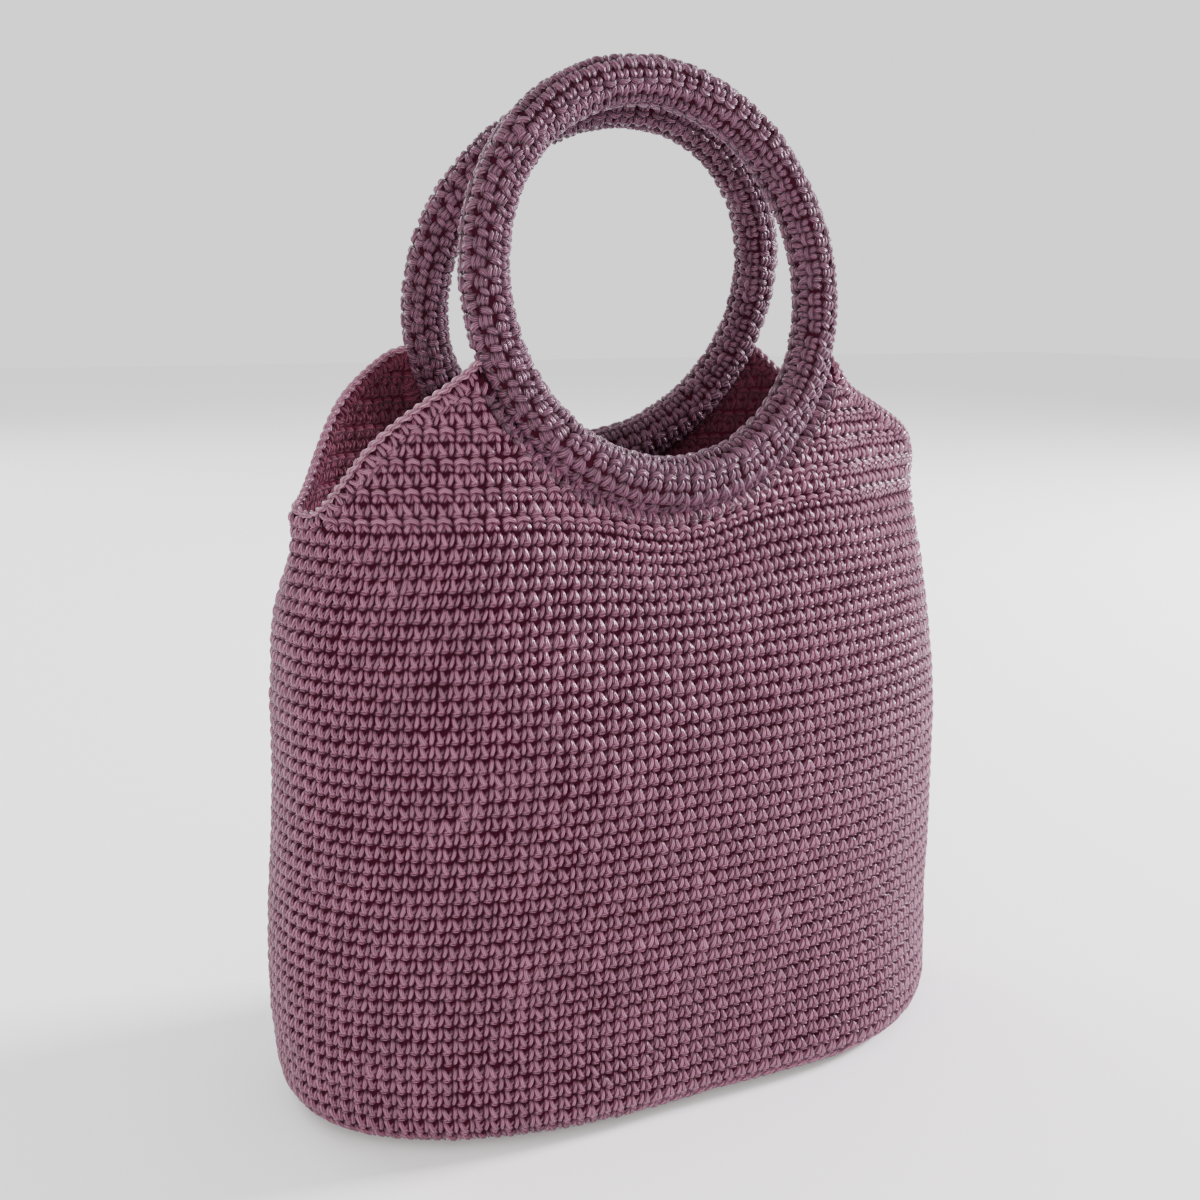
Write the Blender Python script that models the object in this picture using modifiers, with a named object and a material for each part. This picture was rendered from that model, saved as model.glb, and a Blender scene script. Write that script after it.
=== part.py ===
"""A crochet bag with two covered ring handles, in metres, +Z up.

The bag stands on the XY plane. Its origin is the middle of its base, its front faces -Y, and its
length runs along X. The body is one worked fabric: an oval base, walls that bulge where the bag is
filled, and a flap at the front and back that rises to its ring between two side notches.
"""

import math

import bmesh
import bpy
from mathutils import Vector

# Body sizes
BAG_WIDTH = 0.278  # widest, along X
BAG_DEPTH = 0.1455  # widest, along Y
NOTCH_HEIGHT = 0.2125  # from the ground to the fabric edge at the bottom of a side notch
WALL = 0.004  # thickness of the worked fabric
BASE_ROUND = 0.010  # radius between the flat base and the walls

# Handle sizes
RING_RADIUS = 0.0704  # to the middle of the bar
BAR_RADIUS = 0.0081  # the bar with its crochet cover
HANDLE_RISE = 0.0800  # front ring's centre above the notch
BACK_DROP = 0.0020  # back ring's centre below the front one's
FRONT_SET = 0.0262  # front ring's centre in front of the middle
BACK_SET = 0.0300  # back ring's centre behind the middle
BACK_SHIFT = 0.0050  # back ring's centre to the right of the front one's
FRONT_LEAN_ANGLE = math.radians(8.7)  # the front ring's top leans to the back
BACK_LEAN_ANGLE = math.radians(-19.5)  # the back ring's top leans to the front
FRONT_TURN_ANGLE = math.radians(4.5)  # turn about +Z
BACK_TURN_ANGLE = math.radians(-1.0)

# Where fabric, rings and edging meet
SEAM_GAP = 0.0003
PEAK_ANGLE = math.radians(18.0)  # a flap holds its ring from this far below the ring's middle
EDGING_RADIUS = 0.0022

# How the flaps rise from the walls: they begin to lean towards the rings at a share of the notch
# height, and keep the walls' way below and the ring's way above for a share of their own height
FLAP_START_SHARE = 0.80
FLAP_LOWER_SHARE = 0.45
FLAP_UPPER_SHARE = 0.35

# Facets
COLUMNS = 80  # round the body, a multiple of 4
NOTCH_COLUMNS = 9  # from a notch's bottom to the ring, on each flap
WALL_ROWS = 9
FLAP_ROWS = 9
ROUND_ROWS = 3
OUTLINE_STEPS = 360
RING_STEPS = 60
BAR_STEPS = 10
EDGING_RESOLUTION = 2

# Outline of the walls: height as a share of the notch height, width and depth as shares of the
# bag's, and the exponent of the oval (2 is an ellipse, more is squarer)
SECTION_COLUMNS = ("height", "width", "depth", "squareness")
SECTIONS = (
    (0.000, 0.980, 1.000, 2.26),
    (0.056, 0.984, 1.000, 2.27),
    (0.165, 1.000, 0.975, 2.29),
    (0.306, 1.000, 0.966, 2.32),
    (0.471, 0.982, 0.966, 2.35),
    (0.635, 0.976, 0.933, 2.38),
    (0.800, 0.954, 0.839, 2.41),
    (0.941, 0.919, 0.730, 2.44),
    (1.000, 0.916, 0.690, 2.44),
)

# Dents and bulges of the walls: place round the bag (0 is its left end, 0.25 the front's middle,
# 0.5 the right end), height as a share of the notch height, how far the form reaches as the same
# two shares, and how deep it goes in as a share of the bag's depth (a bulge is negative)
DENTS = (
    (0.26, 0.02, 0.070, 0.15, 0.024),
    (0.74, 0.02, 0.070, 0.15, 0.024),
    (0.37, 0.04, 0.060, 0.14, -0.024),
    (0.50, 0.05, 0.060, 0.07, -0.012),
    (0.50, 0.24, 0.080, 0.09, 0.009),
    (0.50, 1.00, 0.060, 0.16, -0.034),
    (0.00, 0.63, 0.070, 0.10, 0.010),
)

# The four notch edges: flap, end of the bag, and the edge's two bends as shares of the way from
# the notch's bottom to the ring along X, Y and Z
EDGE_BENDS = (
    ("front", "left", (0.08, 0.71, -0.19), (0.26, 0.95, 0.45)),
    ("front", "right", (-0.11, 0.74, 0.54), (0.85, 0.91, 0.45)),
    ("back", "left", (0.27, 0.67, 0.00), (0.42, 0.93, 0.72)),
    ("back", "right", (0.20, 0.67, 0.10), (0.50, 0.93, 0.65)),
)

# Yarn
MAUVE = (0.235, 0.125, 0.172, 1.0)
LIGHT_MAUVE = (0.300, 0.170, 0.225, 1.0)
ROUGHNESS = 0.65
METALLIC = 0.0


def clear_scene():
    for thing in list(bpy.data.objects):
        bpy.data.objects.remove(thing, do_unlink=True)


def collection(name):
    made = bpy.data.collections.new(name)
    bpy.context.scene.collection.children.link(made)
    return made


def material(name, colour):
    made = bpy.data.materials.new(name)
    made.use_nodes = True
    shader = made.node_tree.nodes["Principled BSDF"]
    shader.inputs["Base Color"].default_value = colour
    shader.inputs["Roughness"].default_value = ROUGHNESS
    shader.inputs["Metallic"].default_value = METALLIC
    return made


def table_value(column, height):
    """Reads a column of SECTIONS at a share of the notch height, on a smooth curve."""
    which = SECTION_COLUMNS.index(column)
    last = len(SECTIONS) - 1
    low = 0
    while low < last - 1 and height > SECTIONS[low + 1][0]:
        low += 1
    before = SECTIONS[max(low - 1, 0)]
    start = SECTIONS[low]
    end = SECTIONS[low + 1]
    after = SECTIONS[min(low + 2, last)]
    span = end[0] - start[0]
    t = (height - start[0]) / span
    start_slope = (end[which] - before[which]) / (end[0] - before[0])
    end_slope = (after[which] - start[which]) / (after[0] - start[0])
    return (
        start[which] * (2 * t**3 - 3 * t**2 + 1)
        + end[which] * (3 * t**2 - 2 * t**3)
        + start_slope * span * (t**3 - 2 * t**2 + t)
        + end_slope * span * (t**3 - t**2)
    )


def oval(half_width, half_depth, squareness):
    """Points of an oval at equal steps along its edge: left end, front, right end, back."""
    power = 2.0 / squareness
    fine = []
    for step in range(OUTLINE_STEPS + 1):
        angle = math.pi + 2 * math.pi * step / OUTLINE_STEPS
        c = math.cos(angle)
        s = math.sin(angle)
        x = half_width * math.copysign(abs(c) ** power, c)
        y = half_depth * math.copysign(abs(s) ** power, s)
        fine.append(Vector((x, y, 0.0)))
    run = [0.0]
    for a, b in zip(fine, fine[1:]):
        run.append(run[-1] + (b - a).length)
    points = []
    at = 0
    for column in range(COLUMNS):
        wanted = run[-1] * column / COLUMNS
        while run[at + 1] < wanted:
            at += 1
        share = (wanted - run[at]) / (run[at + 1] - run[at])
        points.append(fine[at].lerp(fine[at + 1], share))
    return points


def dent_depth(place, height):
    depth = 0.0
    for dent_place, dent_height, reach_round, reach_up, share in DENTS:
        round_off = abs(place - dent_place)
        round_off = min(round_off, 1.0 - round_off) / reach_round
        up_off = (height - dent_height) / reach_up
        depth += BAG_DEPTH * share * math.exp(-(round_off**2) - up_off**2)
    return depth


def wall_outline(z, inset=0.0):
    """The middle of the fabric at height z, all round the bag."""
    height = z / NOTCH_HEIGHT
    half_width = (BAG_WIDTH * table_value("width", height) - WALL) / 2 - inset
    half_depth = (BAG_DEPTH * table_value("depth", height) - WALL) / 2 - inset
    plain = oval(half_width, half_depth, table_value("squareness", height))
    points = []
    for column, point in enumerate(plain):
        along = plain[(column + 1) % COLUMNS] - plain[column - 1]
        inwards = Vector((-along.y, along.x, 0.0)).normalized()
        dented = point + inwards * dent_depth(column / COLUMNS, height)
        points.append(Vector((dented.x, dented.y, z)))
    return points


class Handle:
    """Where one ring stands, and the arc of its lower edge that a flap is sewn to."""

    def __init__(self, name, centre, lean, turn):
        self.name = name
        self.centre = centre
        self.lean = lean
        self.turn = turn
        self.across = Vector((math.cos(turn), math.sin(turn), 0.0))
        backwards = Vector((-math.sin(turn), math.cos(turn), 0.0))
        self.up = Vector((0.0, 0.0, math.cos(lean))) + backwards * math.sin(lean)

    def seam_point(self, angle):
        """A point of the fabric edge along the ring, at an angle from its right-hand side."""
        reach = RING_RADIUS + BAR_RADIUS + SEAM_GAP
        return self.centre + (self.across * math.cos(angle) + self.up * math.sin(angle)) * reach

    def distance(self, point):
        """From a point to the middle of the bar."""
        offset = point - self.centre
        in_plane = Vector((offset.dot(self.across), offset.dot(self.up), 0.0))
        off_plane = math.sqrt(max(offset.length_squared - in_plane.length_squared, 0.0))
        return math.hypot(in_plane.length - RING_RADIUS, off_plane)


FRONT = Handle(
    "ring_handle_front",
    Vector((0.0, -FRONT_SET, NOTCH_HEIGHT + HANDLE_RISE)),
    FRONT_LEAN_ANGLE,
    FRONT_TURN_ANGLE,
)
BACK = Handle(
    "ring_handle_back",
    Vector((BACK_SHIFT, BACK_SET, NOTCH_HEIGHT + HANDLE_RISE - BACK_DROP)),
    BACK_LEAN_ANGLE,
    BACK_TURN_ANGLE,
)


def bezier(points, t):
    a, b, c, d = points
    s = 1.0 - t
    return a * s**3 + b * (3 * s**2 * t) + c * (3 * s * t**2) + d * t**3


def notch_edge(flap, end, bottom, peak):
    """The edge's points from the bottom of a notch up to the ring, the last one left out."""
    rise = peak - bottom
    for row_flap, row_end, first, second in EDGE_BENDS:
        if (row_flap, row_end) == (flap, end):
            bends = [bottom + rise * Vector(shares) for shares in (first, second)]
    steps = [step / NOTCH_COLUMNS for step in range(NOTCH_COLUMNS)]
    return [bezier((bottom, *bends, peak), t) for t in steps]


def flap_edge(flap, handle, left, right):
    """One flap's upper edge from the left notch to the right one, the last point left out."""
    left_angle = math.pi + PEAK_ANGLE
    right_angle = 2 * math.pi - PEAK_ANGLE
    steps = COLUMNS // 2 - 2 * NOTCH_COLUMNS
    rising = notch_edge(flap, "left", left, handle.seam_point(left_angle))
    falling = notch_edge(flap, "right", right, handle.seam_point(right_angle))
    seam = []
    for step in range(steps + 1):
        seam.append(handle.seam_point(left_angle + (right_angle - left_angle) * step / steps))
    return rising + seam + falling[:0:-1]


def top_edge():
    """The fabric's upper edge, one point a column, and the way up along the fabric there."""
    half = COLUMNS // 2
    level = wall_outline(NOTCH_HEIGHT)
    left = level[0]
    right = level[half]
    front = flap_edge("front", FRONT, left, right)
    back = flap_edge("back", BACK, left, right)
    edge = front + [right] + back[:0:-1]
    ups = []
    for column in range(COLUMNS):
        handle = FRONT if column < half else BACK
        place = column % half
        beside = min(min(place, half - place) / NOTCH_COLUMNS, 1.0)
        ups.append(Vector((0.0, 0.0, 1.0)).lerp(handle.up, beside).normalized())
    return edge, ups


def body_rows():
    """Rows of points from the edge of the flat base to the fabric's upper edge."""
    rows = []
    for step in range(ROUND_ROWS):
        angle = math.pi / 2 * step / ROUND_ROWS
        z = WALL / 2 + BASE_ROUND * (1.0 - math.cos(angle))
        rows.append(wall_outline(z, inset=BASE_ROUND * (1.0 - math.sin(angle))))
    start_z = WALL / 2 + BASE_ROUND
    flap_z = NOTCH_HEIGHT * FLAP_START_SHARE
    for step in range(WALL_ROWS):
        rows.append(wall_outline(start_z + (flap_z - start_z) * step / WALL_ROWS))
    lower = wall_outline(flap_z)
    below = wall_outline(flap_z - WALL)
    edge, ups = top_edge()
    for step in range(FLAP_ROWS + 1):
        t = step / FLAP_ROWS
        row = []
        for foot, under, head, up in zip(lower, below, edge, ups):
            reach = (head - foot).length
            way = (foot - under).normalized()
            first = foot + way * (reach * FLAP_LOWER_SHARE)
            second = head - up * (reach * FLAP_UPPER_SHARE)
            row.append(bezier((foot, first, second, head), t))
        rows.append(row)
    return rows


def loft(mesh_name, rows):
    """An open skin through closed rows of points, with a flat face over the first row."""
    bm = bmesh.new()
    made = [[bm.verts.new(point) for point in row] for row in rows]
    for lower, upper in zip(made, made[1:]):
        for column in range(COLUMNS):
            after = (column + 1) % COLUMNS
            bm.faces.new((lower[column], lower[after], upper[after], upper[column]))
    bm.faces.new(list(reversed(made[0])))
    bmesh.ops.recalc_face_normals(bm, faces=bm.faces)
    mesh = bpy.data.meshes.new(mesh_name)
    bm.to_mesh(mesh)
    bm.free()
    return mesh


def make_body(target, yarn):
    rows = body_rows()
    mesh = loft("bag_body", rows)
    mesh.materials.append(yarn)
    mesh.shade_smooth()
    body = bpy.data.objects.new("bag_body", mesh)
    target.objects.link(body)
    shell = body.modifiers.new("Wall", "SOLIDIFY")
    shell.thickness = WALL
    shell.offset = 0.0
    shell.use_even_offset = True
    return rows


def make_ring(target, handle, yarn):
    bpy.ops.mesh.primitive_torus_add(
        major_segments=RING_STEPS,
        minor_segments=BAR_STEPS,
        major_radius=RING_RADIUS,
        minor_radius=BAR_RADIUS,
        location=handle.centre,
        rotation=(math.pi / 2 - handle.lean, 0.0, handle.turn),
    )
    ring = bpy.context.object
    ring.name = handle.name
    ring.data.name = handle.name
    ring.data.materials.append(yarn)
    ring.data.shade_smooth()
    for home in list(ring.users_collection):
        home.objects.unlink(ring)
    target.objects.link(ring)


def edging_path(rows, columns):
    """Middle of the edging bar: it rides on the fabric's edge and stops short of the rings."""
    edge = rows[-1]
    under = rows[-2]
    clear = BAR_RADIUS + SEAM_GAP + EDGING_RADIUS
    path = []
    for column in columns:
        along = (edge[(column + 1) % COLUMNS] - edge[column - 1]).normalized()
        up = edge[column] - under[column]
        out = (up - along * up.dot(along)).normalized()
        point = edge[column] + out * (EDGING_RADIUS + SEAM_GAP)
        if min(FRONT.distance(point), BACK.distance(point)) > clear:
            path.append(point)
    return path


def make_edging(target, name, path, yarn):
    curve = bpy.data.curves.new(name, "CURVE")
    curve.dimensions = "3D"
    curve.bevel_depth = EDGING_RADIUS
    curve.bevel_resolution = EDGING_RESOLUTION
    curve.use_fill_caps = True
    curve.materials.append(yarn)
    spline = curve.splines.new("POLY")
    spline.points.add(len(path) - 1)
    for point, place in zip(spline.points, path):
        point.co = (*place, 1.0)
    spline.use_smooth = True
    target.objects.link(bpy.data.objects.new(name, curve))


def main():
    clear_scene()
    bag = collection("crochet_bag")
    yarn = material("yarn_mauve", MAUVE)
    light_yarn = material("yarn_edging", LIGHT_MAUVE)
    rows = make_body(bag, yarn)
    make_ring(bag, FRONT, yarn)
    make_ring(bag, BACK, yarn)
    half = COLUMNS // 2
    left_columns = [c % COLUMNS for c in range(NOTCH_COLUMNS, -NOTCH_COLUMNS - 1, -1)]
    right_columns = range(half - NOTCH_COLUMNS, half + NOTCH_COLUMNS + 1)
    make_edging(bag, "edging_left", edging_path(rows, left_columns), light_yarn)
    make_edging(bag, "edging_right", edging_path(rows, right_columns), light_yarn)


main()
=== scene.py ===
"""The crochet bag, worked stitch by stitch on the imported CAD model."""

import math

import bpy
import numpy as np
from mathutils import Matrix, Vector


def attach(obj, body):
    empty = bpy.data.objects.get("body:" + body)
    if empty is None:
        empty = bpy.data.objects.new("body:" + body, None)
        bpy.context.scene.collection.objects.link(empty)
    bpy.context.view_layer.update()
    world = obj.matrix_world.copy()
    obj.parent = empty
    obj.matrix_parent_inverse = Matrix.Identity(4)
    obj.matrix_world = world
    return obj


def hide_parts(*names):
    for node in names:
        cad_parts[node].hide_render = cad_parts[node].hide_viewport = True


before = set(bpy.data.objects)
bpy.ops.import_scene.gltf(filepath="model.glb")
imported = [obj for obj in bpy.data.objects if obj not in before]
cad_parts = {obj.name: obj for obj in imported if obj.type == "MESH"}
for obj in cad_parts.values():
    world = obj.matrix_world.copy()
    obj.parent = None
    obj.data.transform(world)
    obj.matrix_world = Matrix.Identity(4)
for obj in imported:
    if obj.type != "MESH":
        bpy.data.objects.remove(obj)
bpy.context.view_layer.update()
rng = np.random.default_rng(11)

# Sizes repeated from the CAD model's source
BAG_WIDTH = 0.278
BAG_DEPTH = 0.1455
NOTCH_HEIGHT = 0.2125
WALL = 0.004
BASE_ROUND = 0.010
RING_RADIUS = 0.0704
BAR_RADIUS = 0.0081
HANDLE_RISE = 0.0800
BACK_DROP = 0.0020
FRONT_SET = 0.0262
BACK_SET = 0.0300
BACK_SHIFT = 0.0050
FRONT_LEAN_ANGLE = math.radians(8.7)
BACK_LEAN_ANGLE = math.radians(-19.5)
FRONT_TURN_ANGLE = math.radians(4.5)
BACK_TURN_ANGLE = math.radians(-1.0)
SEAM_GAP = 0.0003
PEAK_ANGLE = math.radians(18.0)
FLAP_START_SHARE = 0.80
FLAP_LOWER_SHARE = 0.45
FLAP_UPPER_SHARE = 0.35
SECTIONS = np.array(
    (
        (0.000, 0.980, 1.000, 2.26),
        (0.056, 0.984, 1.000, 2.27),
        (0.165, 1.000, 0.975, 2.29),
        (0.306, 1.000, 0.966, 2.32),
        (0.471, 0.982, 0.966, 2.35),
        (0.635, 0.976, 0.933, 2.38),
        (0.800, 0.954, 0.839, 2.41),
        (0.941, 0.919, 0.730, 2.44),
        (1.000, 0.916, 0.690, 2.44),
    )
)
DENTS = (
    (0.26, 0.02, 0.070, 0.15, 0.024),
    (0.74, 0.02, 0.070, 0.15, 0.024),
    (0.37, 0.04, 0.060, 0.14, -0.024),
    (0.50, 0.05, 0.060, 0.07, -0.012),
    (0.50, 0.24, 0.080, 0.09, 0.009),
    (0.50, 1.00, 0.060, 0.16, -0.034),
    (0.00, 0.63, 0.070, 0.10, 0.010),
)
EDGE_BENDS = {
    ("front", "left"): ((0.08, 0.71, -0.19), (0.26, 0.95, 0.45)),
    ("front", "right"): ((-0.11, 0.74, 0.54), (0.85, 0.91, 0.45)),
    ("back", "left"): ((0.27, 0.67, 0.00), (0.42, 0.93, 0.72)),
    ("back", "right"): ((0.20, 0.67, 0.10), (0.50, 0.93, 0.65)),
}

# Sizes of the stitches
STITCH = 0.00534  # along a row
ROW = 0.00485
ROW_SHIFT = 0.06  # each row starts this share of a stitch further on
ROUND_STITCHES = 131  # in each round of the walls
LEAST_STITCH = 0.25  # a flap's end stitch is at least this share of a whole one
LEANING_STITCHES = 3  # how many stitches at each end of a flap's row lean with the edge
LEAN_POWER = 1.5
CURVE_ROUNDS = 3  # between the flat base and the walls
LAST_ROUND_GAP = 0.0004  # from the last whole round to the notches' bottoms
BASE_ROUNDS = 12
RING_STITCHES = 76
BACKING = 0.0006  # from the middle of the fabric to where the stitches rise
CREST = 0.00165  # how far a strand's crest rises
STRAND_ARC = 0.92  # a strand's section is this share of a half circle
STRAND_DEPTH = 0.85  # and its sides drop this share of the crest
STRAND_FOOT = -0.0004  # as far as this below the stitch's foot
RING_CREST = 0.0016
RING_PROUD = 0.0009  # how far the cover stands beyond the CAD bar
RING_FULLER = 0.0017  # and how much more where the ring is sewn in
FULLER_POWER = 3
RING_SIDES = 0.72  # the cosine beyond which a stitch is at a ring's side
RING_ROW_SHIFT = 0.5
RING_STEPS = 160  # of the core under the stitches, and about its bar
BAR_STEPS = 24
DIP = 0.0085  # how far the rows sag under a ring
DIP_REACH = 0.034  # to each side of the ring's middle
DIP_START = 0.160  # height where the sag begins
DIP_POWER = 1.5
DIP_FADE = 0.018  # height over which it ends, above the notches
PUFF = 0.0026  # how far the fabric swells beside a ring
PUFF_REACH = 0.006  # how far from the bar it swells most
BORDER = 0.0048  # width of the row along the notches' edges
BORDER_CLEAR = 0.75  # level rows stop this share of it short
SEAM_ROW = 0.0064  # width of the row below a ring's seam
SEAM_START = 5  # columns between a peak and that row
SEAM_TUCK = 0.0015  # how deep level rows reach under the ring's cover
OVERLAP = 0.0003  # how far a row rises over its neighbour or sinks into the base
CHAIN_RADIUS = 0.0015  # of the whole edging
ROPE_STRAND = 0.00095  # radius of each of its two strands
ROPE_SWING = 0.0007  # from its middle to theirs
ROPE_PITCH = 0.0076  # length of one turn of the strands
ROPE_PLY = 0.004  # length of a ply's repeat
ROPE_RISE = 0.6 * CHAIN_RADIUS  # its middle above the fabric's edge
ROPE_TUCK = 0.001  # how deep its ends reach into the rings' covers
ROPE_STEP = 0.0007
ROPE_SIDES = 10
ROPE_SMOOTHING = 6
ROPE_LEAST_LIFT = 0.4  # painted shade: the yarn's lightness falls to this share deep between the strands
ROPE_NUDGE = 1e-9  # so that an upright start still gets a side
HEMS = {  # how far a flap's edge stands beyond the CAD solid's along most of a notch
    ("front", "left"): 0.0050,
    ("front", "right"): 0.0026,
    ("back", "left"): 0.0050,
    ("back", "right"): 0.0012,
}
NOTCH_FILL = {"left": 0.0048, "right": 0.0030}  # the same at the bottom of a notch
PEAK_HEM = {"front": -0.0022, "back": 0.0006}  # and where the edge meets the ring
FILL_COLUMNS = 8  # the columns over which one of these gives way to the next
PEAK_HEM_START = 22  # the column where the edge begins to turn to the ring
PEAK_HEM_COLUMNS = 14  # and the columns that the turn takes
HEM_FADE_COLUMNS = 4  # past the peak, where the hem ends
SWELLS = (  # place round the wall, height, reach round, reach up, metres
    (0.985, 0.90, 0.06, 0.12, 0.0032),
    (0.985, 0.68, 0.05, 0.07, 0.0012),
    (0.480, 0.60, 0.06, 0.22, 0.0022),
)
SOFT_COLUMNS = 11  # the fabric's fold below each peak is softened over this many columns
SOFT_ROWS = 6  # and fades out over this many rows below the edge
SOFT_TURNS = 90  # how many times it is smoothed

BAKE_MARGIN = 0.1  # round each strand's tile in the map for baking

# How far stitches differ: turn, size, how many are bigger and by how much, shift, and height
TURN_SPREAD = 0.07
SIZE_SPREAD = 0.05
BIG_SHARE = 0.02
BIG_SIZE = 1.20
SHIFT_SPREAD = 0.03
HEIGHT_SPREAD = 0.00010
RING_LOOSENESS = 1.5  # how much more they do on the rings

# How finely the fabric's middle is laid out
OUTLINE_STEPS = 1440
COLUMNS = 320  # round the body
NOTCH_COLUMNS = 36  # from a notch's bottom to the ring, on each flap
ROUND_ROWS = 8  # between the flat base and the walls
WALL_ROWS = 36
FLAP_ROWS = 36
EDGE_ROWS = 4  # the way out across the upper edge is taken over this many rows


def unit(v):
    return v / np.maximum(np.linalg.norm(v, axis=-1, keepdims=True), 1e-12)


# The middle of the fabric, as the CAD model has it, with the swells and hems of real fabric


def profile(which, height):
    """Reads a column of SECTIONS at a share of the notch height, on a smooth curve."""
    last = len(SECTIONS) - 1
    low = 0
    while low < last - 1 and height > SECTIONS[low + 1][0]:
        low += 1
    before, start = SECTIONS[max(low - 1, 0)], SECTIONS[low]
    end, after = SECTIONS[low + 1], SECTIONS[min(low + 2, last)]
    span = end[0] - start[0]
    t = (height - start[0]) / span
    a = (end[which] - before[which]) / (end[0] - before[0]) * span
    b = (after[which] - start[which]) / (after[0] - start[0]) * span
    return (
        start[which] * (2 * t**3 - 3 * t**2 + 1)
        + end[which] * (3 * t**2 - 2 * t**3)
        + a * (t**3 - 2 * t**2 + t)
        + b * (t**3 - t**2)
    )


def oval(half_width, half_depth, squareness):
    """Points of an oval at equal steps along its edge: left end, front, right end, back."""
    angle = math.pi + 2 * math.pi * np.arange(OUTLINE_STEPS + 1) / OUTLINE_STEPS
    c, s = np.cos(angle), np.sin(angle)
    power = 2.0 / squareness
    xy = np.stack(
        (
            half_width * np.sign(c) * np.abs(c) ** power,
            half_depth * np.sign(s) * np.abs(s) ** power,
        ),
        1,
    )
    run = np.r_[0, np.cumsum(np.linalg.norm(np.diff(xy, axis=0), axis=1))]
    wanted = run[-1] * np.arange(COLUMNS) / COLUMNS
    return np.stack([np.interp(wanted, run, xy[:, i]) for i in (0, 1)], 1)


def wall_outline(z, inset=0.0):
    """The middle of the fabric at height z, all round the bag."""
    height = z / NOTCH_HEIGHT
    half_width = (BAG_WIDTH * profile(1, height) - WALL) / 2 - inset
    half_depth = (BAG_DEPTH * profile(2, height) - WALL) / 2 - inset
    plain = oval(half_width, half_depth, profile(3, height))
    along = np.roll(plain, -1, 0) - np.roll(plain, 1, 0)
    inwards = unit(np.stack((-along[:, 1], along[:, 0]), 1))
    place = np.arange(COLUMNS) / COLUMNS
    depth = np.zeros(COLUMNS)
    for dent_place, dent_height, reach_round, reach_up, share in DENTS:
        off = np.abs(place - dent_place)
        off = np.minimum(off, 1 - off) / reach_round
        up = (height - dent_height) / reach_up
        depth += BAG_DEPTH * share * np.exp(-(off**2) - up**2)
    for swell_place, swell_height, reach_round, reach_up, amount in SWELLS:
        off = np.abs(place - swell_place)
        off = np.minimum(off, 1 - off) / reach_round
        depth -= amount * np.exp(-(off**2) - ((height - swell_height) / reach_up) ** 2)
    xy = plain + inwards * depth[:, None]
    return np.column_stack((xy, np.full(COLUMNS, z)))


class Handle:
    """Where one ring stands."""

    def __init__(self, centre, lean, turn):
        self.centre = np.array(centre)
        self.across = np.array((math.cos(turn), math.sin(turn), 0.0))
        back = np.array((-math.sin(turn), math.cos(turn), 0.0))
        self.up = np.array((0, 0, math.cos(lean))) + back * math.sin(lean)
        self.front = np.cross(self.across, self.up)

    def seam(self, angle):
        """Points of the fabric's edge along the ring."""
        reach = RING_RADIUS + BAR_RADIUS + SEAM_GAP
        return self.centre + reach * (
            np.multiply.outer(np.cos(angle), self.across)
            + np.multiply.outer(np.sin(angle), self.up)
        )

    def distance(self, points):
        """From points to the middle of the bar."""
        off = points - self.centre
        a, b = off @ self.across, off @ self.up
        c = off @ self.front
        return np.hypot(np.hypot(a, b) - RING_RADIUS, c)


FRONT = Handle((0.0, -FRONT_SET, NOTCH_HEIGHT + HANDLE_RISE), FRONT_LEAN_ANGLE, FRONT_TURN_ANGLE)
BACK = Handle(
    (BACK_SHIFT, BACK_SET, NOTCH_HEIGHT + HANDLE_RISE - BACK_DROP),
    BACK_LEAN_ANGLE,
    BACK_TURN_ANGLE,
)


def bezier(a, b, c, d, t):
    s = 1.0 - t
    return a * s**3 + b * (3 * s**2 * t) + c * (3 * s * t**2) + d * t**3


def flap_edge(flap, handle, left, right):
    """One flap's upper edge from the left notch to the right one, the last point left out."""
    angles = (math.pi + PEAK_ANGLE, 2 * math.pi - PEAK_ANGLE)
    t = (np.arange(NOTCH_COLUMNS) / NOTCH_COLUMNS)[:, None]
    sides = []
    for end, bottom, angle in (("left", left, angles[0]), ("right", right, angles[1])):
        peak = handle.seam(angle)
        first, second = (bottom + (peak - bottom) * np.array(b) for b in EDGE_BENDS[flap, end])
        sides.append(bezier(bottom, first, second, peak, t))
    seam = handle.seam(np.linspace(*angles, COLUMNS // 2 - 2 * NOTCH_COLUMNS + 1))
    return np.concatenate((sides[0], seam, sides[1][:0:-1]))


def normals_of(grid):
    return unit(np.cross(np.roll(grid, -1, 1) - np.roll(grid, 1, 1), np.gradient(grid, axis=0)))


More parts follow.
